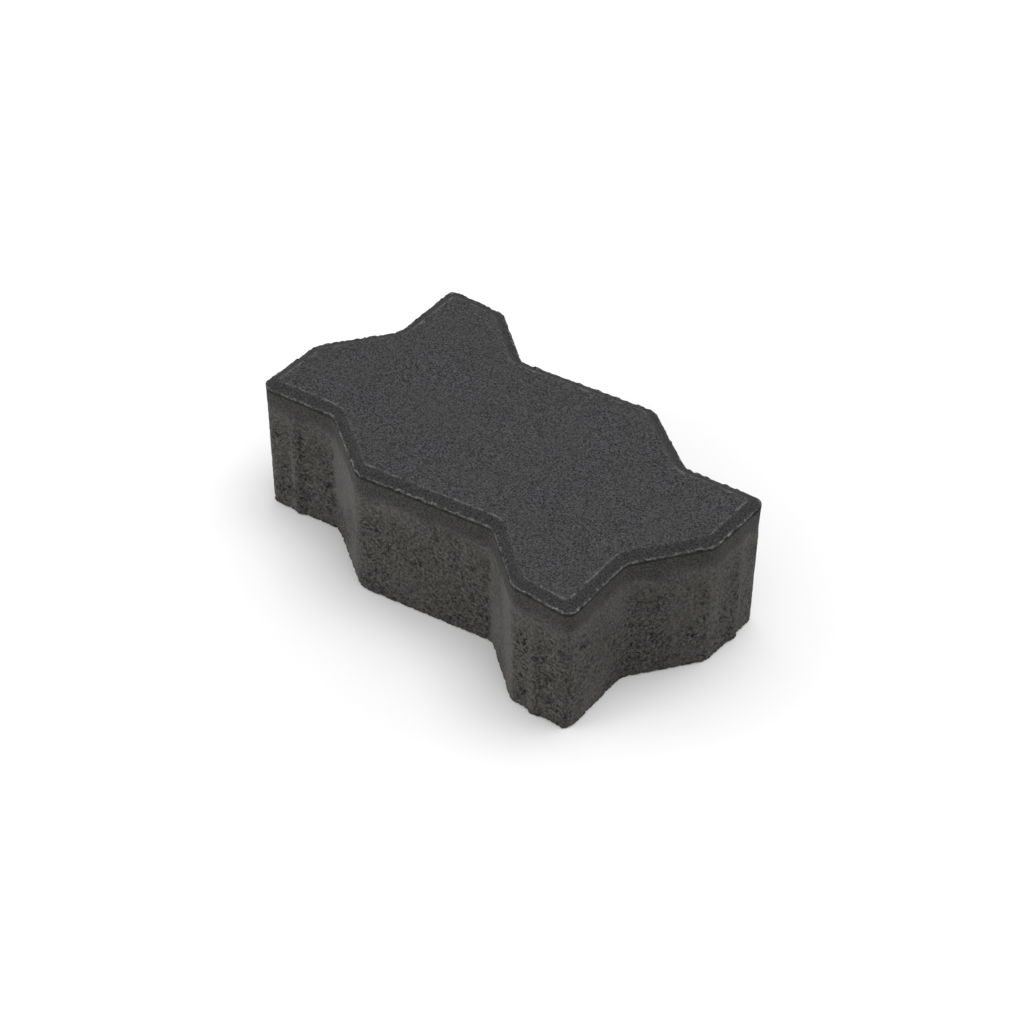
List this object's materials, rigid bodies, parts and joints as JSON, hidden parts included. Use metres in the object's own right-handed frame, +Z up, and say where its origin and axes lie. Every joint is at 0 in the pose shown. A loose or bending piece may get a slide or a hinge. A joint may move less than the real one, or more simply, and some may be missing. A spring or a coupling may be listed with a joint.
{
  "type": "interlocking concrete paving stone",
  "caption": "Charcoal zig-zag interlocking paving stone of pressed concrete, bevelled round its wearing face, with spacer nibs low on its sides.",
  "frame": {"origin": "middle of the stone's box on its bed face", "axes": "+X along the long sides, +Z up out of the wearing face"},
  "size_m": [0.2408, 0.1378, 0.08],
  "materials": {
    "concrete": "matt pressed charcoal concrete, fine sandy facing over a coarse pitted base"
  },
  "bodies": {
    "root": {"paving_stone": "concrete"}
  },
  "joints": []
}
